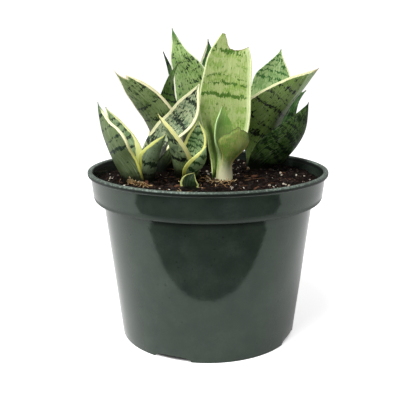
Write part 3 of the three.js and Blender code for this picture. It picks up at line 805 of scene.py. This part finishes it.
def leaf(node, seed, crown, side, ring, through, widths, fold, twist, lift, keel=FOLD_KEEL, torn=None,
         ragged=0, bands=(), zigzag=1, shine=0.28, slot="leaf", like=None, **look):
    """Makes a leaf with its own markings in place of its plain solid."""
    mesh = blade(node + "_blade", seed, crown, side, ring, through, widths, fold, twist, lift, keel, torn,
                 ragged)
    piece = add_piece(node + "_blade", mesh, sharp=50)
    length = max(point.vector[1] for point in mesh.attributes["blade"].data)
    finish, tree, shader = new_finish(node + "_skin", IOR=1.45, Specular_IOR_Level=shine)
    row = use_group(tree, zigzag_rows, {"Seed": seed, "Zigzag": zigzag})["Row"]
    marked = {"Seed": seed, "Bands": band_strength(row, bands, length)}
    for key, value in {**(like or {}), **look}.items():
        if key in TOGETHER:
            marked.update(zip(TOGETHER[key], value))
        else:
            marked[key.replace("_", " ").title()] = value
    shown = use_group(tree, markings, marked)
    dress(shader, shown["Colour"], shown["Roughness"], shown["Height"], depth=0.35, strength=0.6)
    piece.data.materials.append(finish)
    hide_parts(node)


leaf("left_outer_leaf_1", 1, "left", 222, 10.6, [[-58.5, -20, 121], [-64, -17, 135], [-66.6, -14, 150.6]],
     [29, 34.5, 20], [62, 50, 40], [-17, -22], 0.4, zigzag=0.7,
     skin=("#5e7146", "#657550", "#18301c"), edged=(1.3, NO_MARGIN), tip="#3a5638", tip_length=9,
     bands=[(19.4, 1.5, 1), (25.8, 1.7, 0.85), (33.5, 1.6, 0.6), (42, 3.5, 0.75), (50, 5, 1)])
leaf("left_outer_leaf_2", 2, "left", 318, 8,
     [[-33.2, -20.6, 112.5], [-30, -20.6, 121.5], [-25.3, -18.6, 132]],
     [17.4, 23, 13], [62, 60, 40], [12, 12], 0.6,
     skin=("#758b64", "#9bb08b", "#1f381d"), rim=("#dfe084", "#c6cc5a"), edged=(NO_MARGIN, 1.5),
     foot_height=12, bands=[(11, 2.4, 1), (4, 2, 0.6), (24, 2, 0.5)])
leaf("left_inner_leaf_1", 3, "left", 150, 5.6, [[-48, -9, 118.6], [-56, -7, 132], [-63.4, -5, 146.7]],
     [15, 15, 10], [75, 45, 30], [-15, -20], 0.5,
     skin=("#6a8558", "#a3b88c", "#22381f"), rim=("#e8e6a8", "#c0c86c"), edged=(0.6, 0.9), low_widening=4.6,
     bands=[(13.8, 1.8, 1), (18, 1.5, 1), (24, 1.8, 1), (29.5, 1.6, 1), (34.5, 1.2, 0.7), (39, 1.2, 0.6)])
leaf("left_inner_leaf_2", 4, "left", 60, 8.2,
     [[-34.8, -3.4, 116.5], [-25.9, -0.5, 129], [-15, -2, 139.6], [-5, -4.7, 161.5]],
     [16, 19, 17], [34, 38, 30], [20, 15], 0.5,
     skin=("#5b7253", "#b1b98f", "#0d2210"), mottling=2, fine_bands=0.6, edged=(1.3, 1.9),
     low_widening=-8, channel=15, channel_top=30,
     bands=[(21, 5, 1), (35, 1.2, 0.4), (42, 3, 1), (50, 1.5, 0.5), (56.5, 2.5, 0.9), (62.5, 3, 0.8)])


# ---- Middle rosette ----
# A smaller offset with strong yellow margins: a leaf folded back on itself, a dark one that hangs
# over the rim, and a short one between them that faces the front.
YELLOW = {"rim": ("#e9e794", "#cfd250"), "edged": (1.8, 1.8)}

leaf("middle_outer_leaf_1", 5, "middle", 225, 5.6,
     [[-20.4, -18.6, 118.5], [-23.8, -26.9, 133.5], [-29.3, -31.4, 145.5]],
     [24, 23, 12], [70, 50, 40], [-15, -20], 0.3,
     like=YELLOW, skin=("#708462", "#c8e49e", "#07180a"), rim=("#fffbb0", "#f4f35a"), edged=(2.2, NO_MARGIN),
     foot_height=14, bands=[(18.3, 2.2, 1), (24.5, 1.5, 0.5), (32, 4, 0.75), (45, 4, 0.8)])
leaf("middle_outer_leaf_2", 6, "middle", 315, 8.2,
     [[-6.7, -19.9, 110], [-2.9, -21.2, 117.5], [-0.8, -19.2, 125]],
     [16.8, 18, 11], [58, 42, 35], [5, 5], 0.4,
     like=YELLOW, skin=("#81a06a", "#9bb883", "#2c5322"), edged=(NO_MARGIN, 1.8),
     bands=[(6, 2, 1), (11.1, 1.8, 1), (16.1, 1.8, 1), (21.5, 1.5, 0.8)])
leaf("middle_inner_leaf", 7, "middle", 60, 3, [[-10.4, -4.7, 115.5], [-6.9, -6.4, 127], [-5.8, -8, 139.4]],
     [11.2, 14, 11], [80, 35, 25], [25, 25], 0.3,
     like=YELLOW, skin=("#688855", "#abbd8b", "#294921"), edged=(1.2, 1.3),
     bands=[(14, 1.3, 1), (16.9, 1.1, 1), (19.4, 1.1, 1), (22.4, 1.2, 1), (25.5, 1.3, 1), (29.3, 1.2, 1),
            (33.1, 1.1, 0.9)])


# ---- Pale rosette ----
# A yellow-green offset in front: a tall broad leaf whose tip has been torn off on one side, a
# young leaf still folded in its middle, and the broken stub of a third on a white fleshy stalk.
PALE = {"rim": ("#e4e9bb", "#d4dc98"), "edged": (0.4, 0.6), "foot": "#cfd09a", "tip": "#8d7a4d",
        "tip_length": 0.6}

leaf("pale_back_leaf", 8, "pale", 100, 6.6,
     [[7, 4, 117.5], [10.4, 6, 130], [10.6, 6, 150], [14.1, 4, 179], [19, 2, 202]],
     [15.5, 29, 33.5, 33, 30.3, 26.5, 15], [75, 25, 15], [-10, -10], 0, ragged=0.7,
     torn=[[-1, 0.875], [-0.75, 0.875], [-0.45, 0.852], [-0.25, 0.815], [-0.1, 0.795], [0.2, 0.792],
           [0.6, 0.8], [1, 0.828]],
     slot="pale_leaf", like=PALE, skin=("#85a34a", "#b8c286", "#466d1a"), mottling=1.5, fine_bands=0.35,
     breaks=0.85, strip="#c3d09a", right_strip=2.4, channel=5, channel_top=38, foot="#2e4214",
     foot_height=5, bands=[(79.5, 3.5, 1), (63, 1.5, 0.5), (58.5, 1.4, 0.95), (51.3, 2, 1)])
leaf("pale_young_leaf", 9, "pale", 200, 3.4, [[7.2, -7.8, 124], [7.7, -7.5, 136], [8.8, -6.5, 148]],
     [11, 19, 15], [70, 45, 35], [-60, -60], 0,
     slot="pale_leaf", like=PALE, skin=("#78a545", "#a2c266", "#63a825"), rim=("#b4cf98", "#c3cf92"),
     edged=(2.3, NO_MARGIN), foot_height=10)
leaf("pale_broken_leaf", 10, "pale", 285, 6.6,
     [[11.6, -16, 112], [14.8, -20, 124], [17, -20, 138], [17.6, -19, 150]],
     [7.5, 20, 22], [42, 40, 40], [-10, -10], 0, ragged=1,
     torn=[[-1, 0.56], [-0.6, 0.67], [-0.1, 0.71], [0.4, 0.62], [1, 0.5]],
     slot="pale_leaf", like=PALE, skin=("#627f33", "#969851", "#70b433"), mottling=1.2,
     rim=("#949552", "#b3a65a"), edged=(2, 0.6), foot="#dcdcb4", foot_height=15, tip="#59613a")


# ---- Right rosette ----
# The largest offset leans out over the rim: a long keeled leaf with a dry tip, a mottled one behind
# it, and two leaves that lie low at the side in its shade. Their skins are a dark green painted
# darker still with the shade that falls on them.
leaf("right_front_leaf", 11, "right", 205, 8,
     [[30.4, 27, 112], [36, 25, 125], [47, 24, 139.6], [59.5, 24, 154.4], [73, 26, 169.8]],
     [42, 45.5, 28], [40, 45, 40], [100, 110], 0.6, keel=0.6,
     skin=("#6c893f", "#5f713d", "#0c1708"), mottling=1.7, fine_bands=0.6, edged=(0.8, 1.1), spine_strip=4.6,
     strip_from=58, tip="#a8977a", tip_length=6,
     bands=[(24, 3, 0.7), (30.5, 2, 0.7), (42.5, 2, 0.8), (50, 1.5, 0.6), (58, 2, 0.6)])
leaf("right_back_leaf", 12, "right", 100, 8,
     [[38.5, 54.4, 131], [42.8, 58, 148], [47.8, 57.8, 165], [51, 56, 181.5]],
     [18, 23, 26.5], [40, 30, 25], [-18, -22], 0.3,
     skin=("#7a9d5d", "#b5c88e", "#34642a"), mottling=1.8, fine_bands=0.6, edged=(NO_MARGIN, 0.4),
     bands=[(79.5, 1.2, 1), (75.8, 1.1, 1), (72, 1.2, 1), (67.8, 1.3, 0.9), (63, 2, 0.6)])
# Painted shade: the skins of the two low side leaves are darker than their own green.
leaf("right_side_leaf_1", 13, "right", 285, 10.6,
     [[43.3, 19.3, 110], [53.3, 18.2, 117.5], [62.9, 22.2, 129], [67.6, 29.8, 147]],
     [34, 36, 24], [62, 45, 35], [30, 30], 0.5, shine=0.05,
     skin=("#19340e", "#405728", "#0b2006"), mottling=2, paleness=0.9, fine_bands=0.7,
     edged=(NO_MARGIN, NO_MARGIN),
     bands=[(3, 3, 1), (12.5, 2.5, 1), (19.5, 2, 1), (27, 3, 1), (35, 3, 1), (44, 8, 0.7)])
leaf("right_side_leaf_2", 14, "right", 28, 8.2,
     [[54.3, 49.6, 132.6], [60.5, 49.4, 146.3], [68.5, 49.6, 153.7]],
     [9, 14, 10], [24, 35, 30], [50, 50], 0.5, shine=0.05,
     skin=("#27461f", "#3c5c2c", "#12280f"), mottling=1.5, edged=(NO_MARGIN, NO_MARGIN),
     bands=[(30, 3, 1), (40, 3, 1)])


# ---- Back left rosette ----
# A broad olive leaf that leans out to the left with a torn upper edge, a dark narrow leaf behind
# it, and a low one at the back.
SHADED_FOOT = "#0d140a"

leaf("back_left_outer_leaf", 15, "back_left", 220, 8.2,
     [[-29, 15, 123.5], [-32.5, 12, 138], [-40.5, 9, 149.8], [-49.6, 7, 159.5], [-59.5, 6, 169.3]],
     [25, 23, 16.5], [45, 25, 20], [35, 35], 0.5, torn=[[-1, 0.9], [-0.5, 0.88], [0.5, 1], [1, 1]],
     skin=("#576f36", "#8da068", "#192c0c"), mottling=1.8, fine_bands=0.5, breaks=0.8,
     rim=("#f0e8c0", "#dcd98a"), edged=(1.25, 0.6), foot=SHADED_FOOT, foot_height=26, tip="#d8ccae",
     tip_length=2.5, bands=[(36.5, 2, 0.85), (46.8, 1.2, 1), (56.8, 1, 0.55), (62.3, 1, 0.5)])
leaf("back_left_inner_leaf", 16, "back_left", 75, 5.6,
     [[-27, 31.5, 145.3], [-26, 30, 155.5], [-23.8, 27.5, 164.7], [-19.6, 25, 172.6]],
     [20, 18, 7], [75, 40, 30], [15, -5], 0.3,
     skin=("#354e1a", "#587739", "#0e220b"), edged=(NO_MARGIN, NO_MARGIN), foot=SHADED_FOOT, foot_height=36,
     bands=[(40, 2, 1), (45, 2, 1), (49.5, 2, 1), (56, 3, 0.9)])
leaf("back_left_low_leaf", 17, "back_left", 120, 8.2, [[-33, 36, 115], [-36, 43, 126], [-37, 47, 133]],
     [20, 20, 13], [34, 40, 30], [0, 0], 0.4, bands=[(8, 2, 1), (15, 2, 1), (22, 2, 1)])


# ---- Back rosette ----
# The oldest offset stands at the back: a tall leaf with a cream edge, a dark one inside it, a
# slender one at the far side and a broad one that only shows from behind.
leaf("back_tall_leaf", 18, "back", 260, 8.2,
     [[-8.5, 34, 141], [-10.5, 33, 154], [-14.8, 32, 167], [-19.2, 31, 176], [-23.5, 30, 195]],
     [25, 32, 20], [62, 30, 30], [-10, -20], 0.2,
     skin=("#7da052", "#a7be7d", "#1e3c14"), mottling=2.1, fine_bands=0.6, breaks=0.7,
     rim=("#f2f3dc", "#e3e3a8"), edged=(0.3, 1.5), foot=SHADED_FOOT, foot_height=47, tip="#4b7236",
     tip_length=12, bands=[(93, 4, 1), (70.8, 0.9, 0.85), (64, 1, 0.4), (57.5, 2.5, 0.55)])
leaf("back_inner_leaf", 19, "back", 20, 5.6, [[2.6, 48, 154], [0.8, 48, 174.4], [0, 46, 188.3]],
     [18, 22, 17], [75, 40, 30], [60, 60], 0.2,
     skin=("#38602f", "#476f3a", "#1d3326"), rim=("#f0efcf", "#e3e3a8"), edged=(1.3, NO_MARGIN),
     foot=SHADED_FOOT, foot_height=40, bands=[(75, 3, 0.8), (85, 3, 1)])
leaf("back_far_leaf", 20, "back", 170, 5.6,
     [[-20.5, 54.3, 133], [-22, 55.8, 151], [-27.8, 54, 171], [-31, 50, 180]],
     [7, 6, 4.6], [60, 45, 30], [-60, -60], 0.3,
     skin=("#3e5a36", "#55703f", "#1d3326"), edged=(NO_MARGIN, NO_MARGIN), bands=[(72, 2, 1), (79, 2, 1)])
leaf("back_outer_leaf", 21, "back", 60, 8.2, [[-2, 54, 118], [2, 59, 135], [5, 61, 149]],
     [26, 28, 20], [50, 40, 30], [5, 5], 0.4,
     bands=[(10, 2, 1), (18, 2, 1), (26, 2, 0.8), (34, 2, 1), (42, 2, 0.8)])


# ---- Pup ----
# One small dark leaf of a new offset comes up at the front rim. It is a folded blade as the others
# are, just out of the mix, with a thin cream margin.
leaf("pup_leaf", 22, "pup", 90, 5, [[-10, -39.5, 108], [-8, -40.5, 112.2]],
     [12, 9.5, 5], [65, 35, 25], [-5, -5], 0.3,
     skin=("#17290d", "#223c16", "#0e1c09"), rim=("#e6e4b4", "#c9cf7c"), edged=(0.5, 0.7), foot_height=1.5)


# ---- Studio ----
# A white table and white surroundings, one broad soft light from above, and a dark room in front
# of the table's edge, which only shows as the dark shape in the pot's gloss.
TABLE_GLOW, UNDER_POT = (0.12, 0.62), (53, 57)


def flat_sheet(name, low_x, low_y, high_x, high_y, z, finish):
    corners = [(low_x, low_y, z), (high_x, low_y, z), (high_x, high_y, z), (low_x, high_y, z)]
    mesh = mesh_in_mm(name, corners, [(0, 1, 2, 3)])
    mesh.materials.append(finish)
    sheet = put_in_scene(name, mesh)
    return sheet


table, table_tree, table_shader = new_finish(
    "white_table", Base_Color=(0.85, 0.85, 0.85, 1), Roughness=0.6, Emission_Color=(1, 1, 1, 1))
table_place = shade(table_tree, "TexCoord", out="Object")
from_middle = shade(table_tree, "VectorMath", {0: table_place}, out="Value", operation="LENGTH")
glow = ramp(shade(table_tree, "LightPath", out="Is Camera Ray"), 0, 1, *TABLE_GLOW)
feed(table_shader.inputs["Emission Strength"],
     times(glow, ramp(from_middle, UNDER_POT[0] * MM, UNDER_POT[1] * MM)))
flat_sheet("table_top", -6000, -6000, 6000, 6000, 0, table)
room = new_finish("dark_room", Base_Color=(0.01, 0.01, 0.01, 1), Roughness=1, Specular_IOR_Level=0)[0]
room_floor = flat_sheet("dark_room_floor", -3000, -3000, 3000, -120, 1, room)
room_floor.visible_camera = room_floor.visible_diffuse = room_floor.visible_shadow = False

surroundings = bpy.data.worlds.new("surroundings")
bpy.context.scene.world = surroundings
surroundings.use_nodes = True
sky = surroundings.node_tree.nodes["Background"]
sky.inputs["Color"].default_value = (1, 1, 1, 1)
seen = shade(surroundings.node_tree, "LightPath", out="Is Camera Ray")
mirrored = seen.node.outputs["Is Glossy Ray"]
feed(sky.inputs["Strength"], ramp(seen, 0, 1, ramp(mirrored, 0, 1, 0.5, 0.43), 1.2))

softbox = bpy.data.lights.new("softbox", "AREA")
softbox.shape = "DISK"
softbox.size = 0.6
softbox.energy = 13
softbox_stand = put_in_scene("softbox", softbox)
softbox_stand.location = (-0.28, -0.35, 0.87)
aim = Vector((0, 0, 0.12))
softbox_stand.rotation_euler = (aim - softbox_stand.location).to_track_quat("-Z", "Y").to_euler()

camera = bpy.data.cameras.new("camera")
camera.sensor_width = 36
camera.lens = 56.03
camera_stand = put_in_scene("camera", camera)
camera_stand.location = (0, -0.40887, 0.1812)
camera_stand.rotation_euler = (radians(90 - 13.73), 0, 0)
bpy.context.scene.camera = camera_stand
bpy.context.scene.view_settings.view_transform = "Standard"
